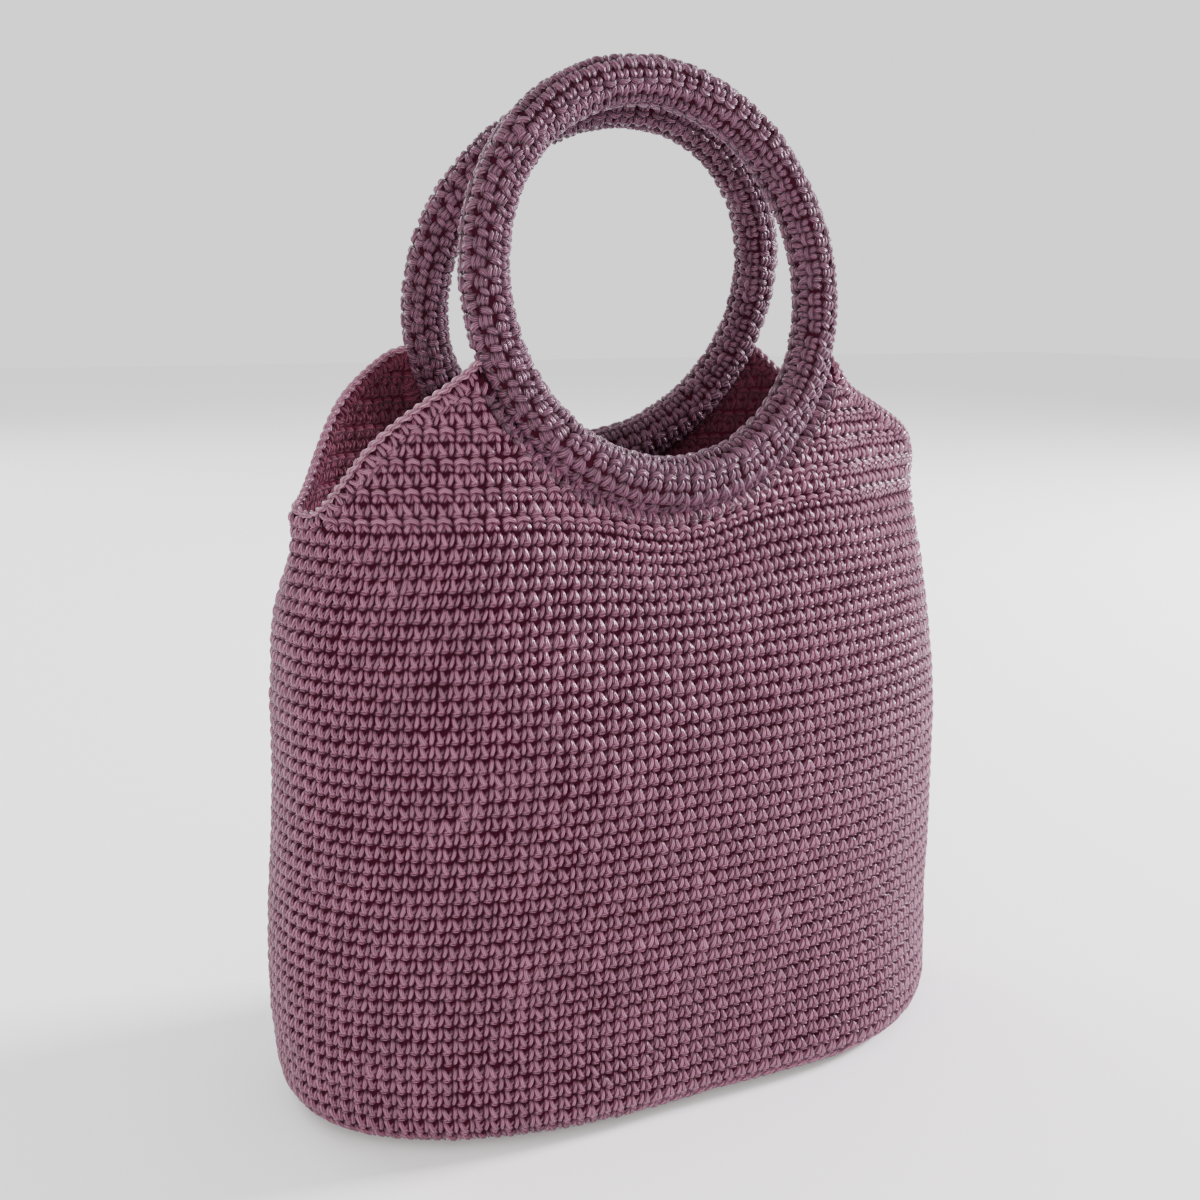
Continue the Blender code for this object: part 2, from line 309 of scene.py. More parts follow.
def fabric_grid():
    """Rows of points of the fabric's middle, from the edge of the flat base to its upper edge."""
    rows = []
    for step in range(ROUND_ROWS):
        angle = math.pi / 2 * step / ROUND_ROWS
        z = WALL / 2 + BASE_ROUND * (1.0 - math.cos(angle))
        rows.append(wall_outline(z, BASE_ROUND * (1.0 - math.sin(angle))))
    start_z, flap_z = WALL / 2 + BASE_ROUND, NOTCH_HEIGHT * FLAP_START_SHARE
    for step in range(WALL_ROWS):
        rows.append(wall_outline(start_z + (flap_z - start_z) * step / WALL_ROWS))
    foot, under = wall_outline(flap_z), wall_outline(flap_z - WALL)
    level = wall_outline(NOTCH_HEIGHT)
    half = COLUMNS // 2
    front = flap_edge("front", FRONT, level[0], level[half])
    back = flap_edge("back", BACK, level[0], level[half])
    head = np.concatenate((front, level[half : half + 1], back[:0:-1]))
    place = np.arange(COLUMNS) % half
    beside = np.minimum(np.minimum(place, half - place) / NOTCH_COLUMNS, 1.0)[:, None]
    ups = np.where(np.arange(COLUMNS)[:, None] < half, FRONT.up, BACK.up)
    ups = unit((0, 0, 1) * (1 - beside) + ups * beside)
    reach = np.linalg.norm(head - foot, axis=1, keepdims=True)
    first = foot + unit(foot - under) * reach * FLAP_LOWER_SHARE
    second = head - ups * reach * FLAP_UPPER_SHARE
    for step in range(FLAP_ROWS + 1):
        rows.append(bezier(foot, first, second, head, step / FLAP_ROWS))
    grid = np.array(rows)
    soften_folds(grid)
    near = np.minimum(FRONT.distance(grid), BACK.distance(grid)) - BAR_RADIUS
    near = np.maximum(near, 0.0) / PUFF_REACH
    grid += normals_of(grid) * (PUFF * near * np.exp(1.0 - near))[..., None]
    add_hems(grid)
    return grid


def soften_folds(grid):
    """Rounds off the folds that run down the flaps from their peaks."""
    half = COLUMNS // 2
    place = np.arange(COLUMNS) % half
    near_peak = np.exp(-(((np.minimum(place, half - place) - NOTCH_COLUMNS) / SOFT_COLUMNS) ** 2))
    number = np.arange(len(grid))
    share = np.clip((len(grid) - 1 - number) / SOFT_ROWS, 0, 1)
    share *= number > ROUND_ROWS + WALL_ROWS
    for _ in range(SOFT_TURNS):
        mean = (np.roll(grid, 1, 1) + 2 * grid + np.roll(grid, -1, 1)) / 4
        grid += (mean - grid) * (share[:, None] * near_peak)[..., None]


def add_hems(grid):
    """Moves the notches' edges out or in, across the fabric's upper edge."""
    half = COLUMNS // 2
    outs = np.array([edge_out(grid, column) for column in range(COLUMNS)])
    for end, first, step in (
        (("front", "left"), 0, 1),
        (("front", "right"), half, -1),
        (("back", "left"), 0, -1),
        (("back", "right"), half, 1),
    ):
        k = np.arange(int(end[0] == "back"), NOTCH_COLUMNS + HEM_FADE_COLUMNS)
        columns = first + step * k
        fill = NOTCH_FILL[end[1]]
        amount = fill + (HEMS[end] - fill) * eased(k / FILL_COLUMNS)
        amount += (PEAK_HEM[end[0]] - amount) * eased((k - PEAK_HEM_START) / PEAK_HEM_COLUMNS)
        amount *= 1 - eased((k - NOTCH_COLUMNS) / HEM_FADE_COLUMNS)
        grid[-1, columns] += outs[columns] * amount[:, None]


def eased(x):
    """A smooth step from 0 to 1."""
    x = np.clip(x, 0, 1)
    return x * x * (3 - 2 * x)


def edge_out(grid, column):
    """The way out of the fabric across its upper edge."""
    along = unit(grid[-1, (column + 1) % COLUMNS] - grid[-1, column - 1])
    up = grid[-1, column] - grid[-1 - EDGE_ROWS, column]
    return unit(up - along * (up @ along))


GRID = fabric_grid()
GRID_NORMALS = normals_of(GRID)
TOPS = GRID[-1]


def dip(x, z):
    """How far a row at height z sags under the rings at a place along the bag."""
    rise = np.clip((z - DIP_START) / (NOTCH_HEIGHT - DIP_START), 0, 1) ** DIP_POWER
    fade = np.clip(1 - (z - NOTCH_HEIGHT - 2 * ROW) / DIP_FADE, 0, 1)
    return DIP * np.exp(-((x / DIP_REACH) ** 2)) * rise * fade


def at_height(z):
    """Points and normals of a row's line, held at a column's head where it would pass over it."""
    made = np.empty((COLUMNS, 6))
    for column in range(COLUMNS):
        line = GRID[ROUND_ROWS - 1 :, column]
        normals = GRID_NORMALS[ROUND_ROWS - 1 :, column]
        here = z - dip(np.interp(z, line[:, 2], line[:, 0]), z)
        for i in range(3):
            made[column, i] = np.interp(here, line[:, 2], line[:, i])
            made[column, 3 + i] = np.interp(here, line[:, 2], normals[:, i])
    made[:, 3:] = unit(made[:, 3:])
    return made


def share_of(loop, share):
    """Points and normals of a closed loop at shares of its length."""
    closed = np.concatenate((loop, loop[:1]))
    run = np.r_[0, np.cumsum(np.linalg.norm(np.diff(closed[:, :3], axis=0), axis=1))]
    wanted = (share % 1.0) * run[-1]
    return np.stack([np.interp(wanted, run, closed[:, i]) for i in range(6)], 1)


def length(loop):
    return np.linalg.norm(np.roll(loop[:, :3], -1, 0) - loop[:, :3], axis=1).sum()


# Cells: each is the four corners of one stitch (lower left, lower right, upper left, upper right),
# with their normals, as an array of (4, 6)


def round_cells(lower, upper, count, shift):
    """Cells between two closed loops."""
    shares = (np.arange(count) + shift) / count
    step = 1.0 / count
    return np.stack(
        (
            share_of(lower, shares),
            share_of(lower, shares + step),
            share_of(upper, shares + ROW_SHIFT * step),
            share_of(upper, shares + (1 + ROW_SHIFT) * step),
        ),
        1,
    )


def flap_line(z, first, last):
    """One flap's row line from notch edge to notch edge, and its run measured from the middle."""
    level = at_height(z)
    spare = TOPS[:, 2] - z + dip(TOPS[:, 0], z)
    line = []
    for column in range(first, last + 1):
        here, there = column % COLUMNS, (column + 1) % COLUMNS
        if spare[here] > 0:
            line.append(level[here])
        if column < last and (spare[here] > 0) != (spare[there] > 0):
            f = spare[here] / (spare[here] - spare[there])
            point = TOPS[here] * (1 - f) + TOPS[there] * f
            inner = here if spare[here] > 0 else there
            line.append(np.r_[point, level[inner, 3:]])
    line = np.array(line)
    if len(line) < 2:
        return None, None
    run = np.r_[0, np.cumsum(np.linalg.norm(np.diff(line[:, :3], axis=0), axis=1))]
    x = line[:, 0] if line[0, 0] < line[-1, 0] else -line[:, 0]
    run = run - np.interp(0.0, x, run)
    return line, run


def flap_cells(z, first, last, shift):
    """Cells of one level row of a flap; near a notch they lean with the edge."""
    lower, low_run = flap_line(z, first, last)
    upper, up_run = flap_line(z + ROW, first, last)
    if lower is None or upper is None:
        return np.empty((0, 4, 6))
    start = math.floor(low_run[0] / STITCH - shift)
    stop = math.ceil(low_run[-1] / STITCH - shift)
    nodes = (np.arange(start, stop + 1) + shift) * STITCH
    least = LEAST_STITCH * STITCH
    nodes = nodes[(nodes > low_run[0] + least) & (nodes < low_run[-1] - least)]
    if len(nodes) < 1:
        return np.empty((0, 4, 6))
    nodes = np.r_[low_run[0], nodes, low_run[-1]]
    reach = LEANING_STITCHES * STITCH
    left = np.clip((low_run[0] + reach - nodes) / reach, 0, 1) ** LEAN_POWER
    right = np.clip((nodes - low_run[-1] + reach) / reach, 0, 1) ** LEAN_POWER
    heads = nodes + left * (up_run[0] - low_run[0]) + right * (up_run[-1] - low_run[-1])

    def read(line, run, wanted):
        return np.stack([np.interp(wanted, run, line[:, i]) for i in range(6)], 1)

    a, b = read(lower, low_run, nodes), read(upper, up_run, heads)
    return np.stack((a[:-1], a[1:], b[:-1], b[1:]), 1)


def border_cells(columns, width):
    """Cells of the row that runs along a part of the fabric's upper edge."""
    columns = [c % COLUMNS for c in columns]
    upper = np.hstack((TOPS[columns], GRID_NORMALS[-3, columns]))
    lower = upper.copy()
    lower[:, :3] -= np.array([edge_out(GRID, c) for c in columns]) * width
    run = np.r_[0, np.cumsum(np.linalg.norm(np.diff(upper[:, :3], axis=0), axis=1))]
    nodes = np.linspace(0, run[-1], round(run[-1] / STITCH) + 1)
    a = np.stack([np.interp(nodes, run, lower[:, i]) for i in range(6)], 1)
    b = np.stack([np.interp(nodes, run, upper[:, i]) for i in range(6)], 1)
    return np.stack((a[:-1], a[1:], b[:-1], b[1:]), 1)


def turned(cells):
    """The same cells seen from the fabric's other side."""
    made = cells[:, [1, 0, 3, 2]].copy()
    made[:, :, 3:] *= -1
    return made


# Strands of a stitch: place along the row, place up the row, share of the crest and half width,
# where a stitch is 1 wide and 1 high

FRONT_STITCH = (
    (
        (0.88, 1.05, 0.05, 0.13),
        (0.87, 0.83, 0.82, 0.165),
        (0.84, 0.54, 1.00, 0.18),
        (0.78, 0.28, 0.90, 0.17),
        (0.68, 0.05, 0.10, 0.12),
    ),
    (
        (0.12, 1.04, 0.05, 0.14),
        (0.14, 0.81, 0.82, 0.175),
        (0.24, 0.52, 1.00, 0.19),
        (0.39, 0.28, 0.95, 0.21),
        (0.56, 0.08, 0.20, 0.16),
    ),
    (
        (0.66, 0.80, 0.10, 0.11),
        (0.56, 0.58, 0.65, 0.16),
        (0.38, 0.36, 0.90, 0.18),
        (0.17, 0.22, 0.85, 0.19),
        (-0.04, 0.12, 0.10, 0.14),
    ),
    (
        (-0.06, 0.09, 0.10, 0.10),
        (0.14, 0.06, 0.75, 0.13),
        (0.38, 0.06, 0.80, 0.13),
        (0.64, 0.09, 0.10, 0.10),
    ),
)
BACK_STITCH = (
    (
        (0.00, 0.40, 0.05, 0.14),
        (0.16, 0.68, 0.85, 0.20),
        (0.46, 0.82, 1.00, 0.22),
        (0.78, 0.70, 0.90, 0.20),
        (1.00, 0.38, 0.05, 0.14),
    ),
    (
        (0.46, 0.62, 0.20, 0.15),
        (0.32, 0.40, 0.80, 0.20),
        (0.20, 0.16, 0.90, 0.20),
        (0.10, -0.08, 0.05, 0.14),
    ),
    (
        (0.52, 0.60, 0.20, 0.14),
        (0.66, 0.38, 0.75, 0.19),
        (0.80, 0.14, 0.85, 0.20),
        (0.90, -0.10, 0.05, 0.14),
    ),
    (
        (0.34, -0.06, 0.10, 0.12),
        (0.46, 0.10, 0.55, 0.15),
        (0.54, 0.28, 0.60, 0.15),
        (0.56, 0.44, 0.10, 0.12),
    ),
)
RING_STAR = (
    (
        (0.90, 1.06, 0.10, 0.14),
        (0.89, 0.80, 0.85, 0.20),
        (0.85, 0.52, 1.00, 0.22),
        (0.79, 0.26, 0.90, 0.20),
        (0.70, -0.04, 0.10, 0.13),
    ),
    (
        (0.10, 1.06, 0.10, 0.14),
        (0.14, 0.80, 0.85, 0.20),
        (0.24, 0.54, 1.00, 0.24),
        (0.38, 0.28, 0.95, 0.25),
        (0.52, 0.00, 0.20, 0.19),
    ),
    (
        (0.72, 0.80, 0.10, 0.12),
        (0.56, 0.58, 0.65, 0.17),
        (0.36, 0.38, 0.85, 0.19),
        (0.16, 0.20, 0.80, 0.20),
        (-0.04, 0.02, 0.10, 0.16),
    ),
)
RING_CAP = (
    (
        (0.04, 0.56, 0.05, 0.14),
        (0.20, 0.82, 0.85, 0.20),
        (0.50, 0.93, 1.00, 0.22),
        (0.80, 0.82, 0.85, 0.20),
        (0.96, 0.56, 0.05, 0.14),
    ),
    (
        (0.42, 0.74, 0.30, 0.15),
        (0.32, 0.50, 0.90, 0.22),
        (0.24, 0.24, 0.90, 0.24),
        (0.18, -0.06, 0.05, 0.16),
    ),
    (
        (0.58, 0.74, 0.30, 0.15),
        (0.66, 0.50, 0.90, 0.22),
        (0.74, 0.24, 0.90, 0.24),
        (0.82, -0.06, 0.05, 0.16),
    ),
)
RING_FAN = (
    (
        (-0.02, 0.16, 0.05, 0.14),
        (0.02, 0.40, 0.95, 0.21),
        (0.09, 0.64, 1.00, 0.23),
        (0.22, 0.86, 0.90, 0.20),
        (0.38, 1.02, 0.05, 0.13),
    ),
    (
        (0.22, 0.24, 0.20, 0.14),
        (0.46, 0.16, 0.85, 0.20),
        (0.74, 0.10, 0.85, 0.20),
        (1.00, 0.12, 0.10, 0.13),
    ),
    (
        (0.20, 0.50, 0.20, 0.15),
        (0.46, 0.46, 0.90, 0.20),
        (0.74, 0.42, 0.90, 0.20),
        (1.00, 0.42, 0.10, 0.13),
    ),
    (
        (0.32, 0.76, 0.20, 0.14),
        (0.54, 0.74, 0.85, 0.18),
        (0.76, 0.70, 0.80, 0.18),
        (1.00, 0.70, 0.10, 0.12),
    ),
)
RING_BEADS = (
    (
        (0.02, 0.24, 0.05, 0.15),
        (0.22, 0.46, 0.90, 0.26),
        (0.50, 0.54, 1.00, 0.28),
        (0.78, 0.46, 0.90, 0.26),
        (0.98, 0.24, 0.05, 0.15),
    ),
    (
        (0.00, 0.90, 0.10, 0.18),
        (0.34, 0.92, 0.75, 0.22),
        (0.66, 0.94, 0.75, 0.22),
        (1.00, 0.96, 0.10, 0.18),
    ),
    (
        (0.10, -0.06, 0.05, 0.13),
        (0.36, 0.06, 0.75, 0.19),
        (0.66, 0.10, 0.75, 0.19),
        (0.94, 0.02, 0.05, 0.13),
    ),
)


def strands(table, points_across, crest=CREST, sections=None):
    """Local points of a stitch's strands, their quads, their place along and across, and lift."""
    points, quads, uv, lift, strip = [], [], [], [], []
    for number, (rows, across) in enumerate(zip(table, points_across)):
        rows = np.array(rows)
        count = sections or len(rows)
        t = np.linspace(0, len(rows) - 1, count)
        smooth = np.stack([np.interp(t, np.arange(len(rows)), rows[:, i]) for i in range(4)], 1)
        xy = smooth[:, :2] * (STITCH, ROW)
        way = unit(np.gradient(xy, axis=0))
        side = np.stack((-way[:, 1], way[:, 0]), 1)
        q = np.linspace(-1, 1, across)
        bow = 1 - np.sqrt(1 - (STRAND_ARC * q) ** 2)
        drop = STRAND_DEPTH * crest * bow / bow[0]
        first = len(points)
        for j in range(count):
            for k in range(across):
                flat = xy[j] + side[j] * smooth[j, 3] * STITCH * q[k]
                n = smooth[j, 2] * crest - drop[k]
                points.append((flat[0] / STITCH, flat[1] / ROW, max(n, STRAND_FOOT)))
                uv.append((j / (count - 1), k / (across - 1)))
                # The lift also sets the painted shade down a strand's sides.
                lift.append(max(n, 0.0) / crest)
                strip.append(number)
        for j in range(count - 1):
            for k in range(across - 1):
                a = first + j * across + k
                quads.append((a, a + across, a + across + 1, a + 1))
    return [np.array(v) for v in (points, quads, uv, lift, strip)]


def loosened(local, count, looseness=1.0):
    """Each stitch's local points with a little shift, turn and size of its own."""
    points = np.repeat(local[None], count, 0)
    middle = np.array((0.5, 0.5))
    turn = rng.normal(0, TURN_SPREAD * looseness, count)
    size = 1 + rng.normal(0, SIZE_SPREAD, count)
    size[rng.random(count) < BIG_SHARE] *= BIG_SIZE
    c, s = np.cos(turn) * size, np.sin(turn) * size
    off = points[:, :, :2] - middle
    points[:, :, 0] = middle[0] + c[:, None] * off[:, :, 0] - s[:, None] * off[:, :, 1]
    points[:, :, 1] = middle[1] + s[:, None] * off[:, :, 0] + c[:, None] * off[:, :, 1]
    points[:, :, :2] += rng.normal(0, SHIFT_SPREAD * looseness, (count, 1, 2))
    points[:, :, 2] += rng.normal(0, HEIGHT_SPREAD * looseness, (count, 1))
    return points


def on_cells(cells, points, base=BACKING):
    """Local points placed on cells, out along their normals."""
    s, t, n = (points[:, :, i, None] for i in range(3))
    a, b, c, d = (cells[:, None, i] for i in range(4))
    place = (a * (1 - s) + b * s) * (1 - t) + (c * (1 - s) + d * s) * t
    return place[..., :3] + unit(place[..., 3:]) * (n + base)


class Work:
    """Gathers stitches for one mesh."""

    def __init__(self):
        self.verts, self.quads, self.uv, self.lift, self.strip, self.tint = [], [], [], [], [], []
        self.count = 0
        self.strips = 0

    def add(self, verts, pattern):
        points, quads, uv, lift, strip = pattern
        number, size = verts.shape[:2]
        starts = self.count + np.arange(number) * size
        per = strip.max() + 1
        self.verts.append(verts.reshape(-1, 3))
        self.quads.append((quads[None] + starts[:, None, None]).reshape(-1, 4))
        self.uv.append(np.tile(uv, (number, 1)))
        self.lift.append(np.tile(lift, number))
        ids = self.strips + np.arange(number)[:, None] * per + strip[None]
        self.strip.append(ids.ravel())
        tint = rng.random((number, per))[np.arange(number)[:, None], strip[None]]
        self.tint.append(tint.ravel())
        self.count += number * size
        self.strips += number * per

    def stitch(self, cells, pattern, base=BACKING):
        if len(cells):
            self.add(on_cells(cells, loosened(pattern[0], len(cells)), base), pattern)

    def make(self, name, material, slot):
        verts = np.concatenate(self.verts)
        verts[:, 2] = np.maximum(verts[:, 2], 0.0)
        quads = np.concatenate(self.quads)
        uv = np.concatenate(self.uv)
        strip = np.concatenate(self.strip)
        side = math.ceil(math.sqrt(self.strips))
        tile = np.stack((strip % side, strip // side), 1)
        bake = (tile + BAKE_MARGIN + (1 - 2 * BAKE_MARGIN) * uv[:, ::-1]) / side
        mesh = bpy.data.meshes.new(name)
        mesh.vertices.add(len(verts))
        mesh.vertices.foreach_set("co", verts.astype(np.float32).ravel())
        mesh.loops.add(quads.size)
        mesh.loops.foreach_set("vertex_index", quads.astype(np.int32).ravel())
        mesh.polygons.add(len(quads))
        mesh.polygons.foreach_set("loop_start", np.arange(0, quads.size, 4, dtype=np.int32))
        mesh.update(calc_edges=True)
        for layer, values in (("Yarn", uv), ("OFBake", bake)):
            made = mesh.uv_layers.new(name=layer)
            made.data.foreach_set("uv", values[quads.ravel()].astype(np.float32).ravel())
        for layer, values in (("lift", self.lift), ("tint", self.tint)):
            made = mesh.attributes.new(layer, "FLOAT", "POINT")
            made.data.foreach_set("value", np.concatenate(values).astype(np.float32))
        mesh.shade_smooth()
        mesh.materials.append(material)
        piece = bpy.data.objects.new(name, mesh)
        bpy.context.scene.collection.objects.link(piece)
        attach(piece, "root")
        print(name, len(quads) * 2, "triangles")
        return piece


# Materials

PLIES = 3.3  # across a strand
PLY_SLANT = 0.35
PLY_DEPTH = 0.0003
PATCH_SCALE = 60  # of the slow changes of colour
FUZZ_SCALE = 900


def node(tree, kind, **values):
    made = tree.nodes.new(kind)
    for key, value in values.items():
        setattr(made, key, value)
    return made


def yarn_material(name, deep, low, high, roughness):
    """Stranded yarn with painted shade: darker down its strands' sides and in its gaps, slanted
    plies with painted shade in their grooves, and a little uneven in colour.
    """
    mat = bpy.data.materials.new(name)
    mat.use_nodes = True
    tree = mat.node_tree
    link = tree.links.new
    shader = tree.nodes["Principled BSDF"]
    shader.inputs["Roughness"].default_value = roughness
    shader.inputs["Specular IOR Level"].default_value = 0.38
    shader.inputs["Specular Tint"].default_value = (1.0, 0.82, 0.94, 1)
    shader.inputs["Sheen Weight"].default_value = 0.07
    shader.inputs["Sheen Roughness"].default_value = 0.4
    shader.inputs["Sheen Tint"].default_value = (0.85, 0.72, 0.90, 1)
    # Painted shade: by the strands' lift, their low sides and feet take the deep and low colours
    # and only their crests the high one.
    lift = node(tree, "ShaderNodeAttribute", attribute_name="lift")
    tint = node(tree, "ShaderNodeAttribute", attribute_name="tint")
    ramp = node(tree, "ShaderNodeValToRGB")
    ramp.color_ramp.elements[0].color = (*deep, 1)
    ramp.color_ramp.elements[0].position = 0.02
    ramp.color_ramp.elements[1].color = (*high, 1)
    ramp.color_ramp.elements[1].position = 0.80
    middle = ramp.color_ramp.elements.new(0.30)
    middle.color = (*low, 1)
    link(lift.outputs["Fac"], ramp.inputs["Fac"])
    uv = node(tree, "ShaderNodeUVMap", uv_map="Yarn")
    split = node(tree, "ShaderNodeSeparateXYZ")
    link(uv.outputs["UV"], split.inputs["Vector"])
    slant = node(tree, "ShaderNodeMath", operation="MULTIPLY_ADD")
    link(split.outputs["X"], slant.inputs[0])
    slant.inputs[1].default_value = PLY_SLANT
    link(split.outputs["Y"], slant.inputs[2])
    turns = node(tree, "ShaderNodeMath", operation="MULTIPLY")
    link(slant.outputs[0], turns.inputs[0])
    turns.inputs[1].default_value = PLIES * math.pi
    wave = node(tree, "ShaderNodeMath", operation="SINE")
    link(turns.outputs[0], wave.inputs[0])
    ply = node(tree, "ShaderNodeMath", operation="ABSOLUTE")
    link(wave.outputs[0], ply.inputs[0])
    # Painted shade and light: the ply wave darkens the grooves between plies and lightens their
    # tops, as well as bumping them.
    shade = node(tree, "ShaderNodeMapRange")
    link(ply.outputs[0], shade.inputs["Value"])
    shade.inputs["To Min"].default_value = 0.48
    shade.inputs["To Max"].default_value = 1.18
    noise = node(tree, "ShaderNodeTexNoise")
    noise.inputs["Scale"].default_value = PATCH_SCALE
    coord = node(tree, "ShaderNodeTexCoord")
    link(coord.outputs["Object"], noise.inputs["Vector"])
    uneven = node(tree, "ShaderNodeMapRange")
    link(noise.outputs["Fac"], uneven.inputs["Value"])
    uneven.inputs["To Min"].default_value = 0.80
    uneven.inputs["To Max"].default_value = 1.20
    own = node(tree, "ShaderNodeMapRange")
    link(tint.outputs["Fac"], own.inputs["Value"])
    own.inputs["To Min"].default_value = 0.82
    own.inputs["To Max"].default_value = 1.18
    both = node(tree, "ShaderNodeMath", operation="MULTIPLY")
    link(shade.outputs["Result"], both.inputs[0])
    link(uneven.outputs["Result"], both.inputs[1])
    every = node(tree, "ShaderNodeMath", operation="MULTIPLY")
    link(both.outputs[0], every.inputs[0])
    link(own.outputs["Result"], every.inputs[1])
    scale = node(tree, "ShaderNodeVectorMath", operation="SCALE")
    link(ramp.outputs["Color"], scale.inputs[0])
    link(every.outputs[0], scale.inputs["Scale"])
    link(scale.outputs["Vector"], shader.inputs["Base Color"])
    bump = node(tree, "ShaderNodeBump")
    bump.inputs["Strength"].default_value = 1.0
    bump.inputs["Distance"].default_value = PLY_DEPTH
    link(ply.outputs[0], bump.inputs["Height"])
    link(bump.outputs["Normal"], shader.inputs["Normal"])
    return mat


def painted_shade_backing(name, low, high):
    """The fabric's core under the strands, painted near black: painted shade that shows in the
    gaps between them.
    """
    mat = bpy.data.materials.new(name)
    mat.use_nodes = True
    tree = mat.node_tree
    shader = tree.nodes["Principled BSDF"]
    shader.inputs["Roughness"].default_value = 1.0
    shader.inputs["Specular IOR Level"].default_value = 0.1
    noise = node(tree, "ShaderNodeTexNoise")
    noise.inputs["Scale"].default_value = FUZZ_SCALE
    coord = node(tree, "ShaderNodeTexCoord")
    tree.links.new(coord.outputs["Object"], noise.inputs["Vector"])
    ramp = node(tree, "ShaderNodeValToRGB")
    ramp.color_ramp.elements[0].color = (*low, 1)
    ramp.color_ramp.elements[1].color = (*high, 1)
    tree.links.new(noise.outputs["Fac"], ramp.inputs["Fac"])
    tree.links.new(ramp.outputs["Color"], shader.inputs["Base Color"])
    return mat


# The deep and low colours of each yarn are painted shade for its strands' sides and the gaps
# between them.
yarn = yarn_material(
    "yarn_mauve", (0.016, 0.0008, 0.004), (0.067, 0.0120, 0.030), (0.184, 0.067, 0.109), 0.26
)
# Painted shade: a darker copy of the same yarn for the bag's insides, which the lights hardly
# reach.
inside_yarn_painted_shade = yarn_material(
    "yarn_shaded", (0.046, 0.003, 0.012), (0.056, 0.0045, 0.016), (0.094, 0.010, 0.028), 0.8
)
# Painted shade: a darker copy of the same yarn for the rings' covers and the row sewn under them.
ring_yarn_painted_shade = yarn_material(
    "yarn_ring", (0.016, 0.0008, 0.004), (0.037, 0.0085, 0.019), (0.096, 0.034, 0.060), 0.38
)
edging_yarn = yarn_material(
    "yarn_edging", (0.03, 0.004, 0.012), (0.10, 0.029, 0.050), (0.21, 0.088, 0.130), 0.29
)
# Painted shade: the core under the stitches is coloured near black for the gaps between the
# strands, and its inner side a little less dark.
painted_shade_core = painted_shade_backing("yarn_painted_shade_core", (0.012, 0.0005, 0.003), (0.028, 0.0012, 0.008))
painted_shade_core_inside = painted_shade_backing("yarn_painted_shade_core_inside", (0.038, 0.002, 0.010), (0.060, 0.004, 0.016))

# The stitches, each with how many points its strands have across

front_stitch = strands(FRONT_STITCH, (4, 4, 3, 3))
back_stitch = strands(BACK_STITCH, (4, 4, 4, 3))
small_front = strands(FRONT_STITCH[:3], (3, 3, 3))
small_back = strands(BACK_STITCH, (3, 3, 3, 3), sections=4)
tiny_back = strands(BACK_STITCH[:2], (3, 3), sections=4)
ring_star = strands(RING_STAR, (5, 5, 4), RING_CREST)
ring_cap = strands(RING_CAP, (5, 5, 5), RING_CREST)
ring_fan = strands(RING_FAN, (5, 4, 4, 4), RING_CREST)
ring_beads = strands(RING_BEADS, (5, 4, 4), RING_CREST)

# The rounds of the walls

loops = []
for step in range(CURVE_ROUNDS + 1):
    angle = math.pi / 2 * step / CURVE_ROUNDS
    z = WALL / 2 + BASE_ROUND * (1.0 - math.cos(angle))
    points = wall_outline(z, BASE_ROUND * (1.0 - math.sin(angle)))
    flat = np.cross(np.roll(points, -1, 0) - np.roll(points, 1, 0), (0, 0, 1))
    normals = unit(flat) * math.sin(angle) - np.array((0, 0, math.cos(angle)))
    loops.append(np.hstack((points, unit(normals))))
wall_rows = round((NOTCH_HEIGHT - WALL / 2 - BASE_ROUND) / ROW)
for z in np.linspace(WALL / 2 + BASE_ROUND, NOTCH_HEIGHT - LAST_ROUND_GAP, wall_rows + 1)[1:]:
    loops.append(at_height(z))

rounds = [
    round_cells(lower, upper, ROUND_STITCHES, ROW_SHIFT * row)
    for row, (lower, upper) in enumerate(zip(loops, loops[1:]))
]
thirds = [rounds[i * len(rounds) // 3 : (i + 1) * len(rounds) // 3] for i in range(3)]
for name, group in zip(("rounds_low", "rounds_middle", "rounds_high"), thirds):
    work = Work()
    for cells in group:
        work.stitch(cells, front_stitch)
    work.make(name, yarn, "yarn_body")
inside = Work()
for cells in rounds[CURVE_ROUNDS:]:
    inside.stitch(turned(cells), tiny_back)
inside.make("rounds_inside", inside_yarn_painted_shade, "yarn_body")

# The flat base

base = Work()
insets = [BASE_ROUND + ROW * k for k in range(BASE_ROUNDS + 1)]
for outer, inner in zip(insets, insets[1:]):
    ring = []
    for inset in (inner, outer):
        points = wall_outline(WALL / 2, inset)
        ring.append(np.hstack((points, np.tile((0.0, 0.0, -1.0), (COLUMNS, 1)))))
    count = round(length(ring[1]) / STITCH)
    base.stitch(round_cells(ring[0], ring[1], count, 0.0), small_front, BACKING - OVERLAP)
base.make("rounds_base", yarn, "yarn_body")

# The flaps, worked to and fro

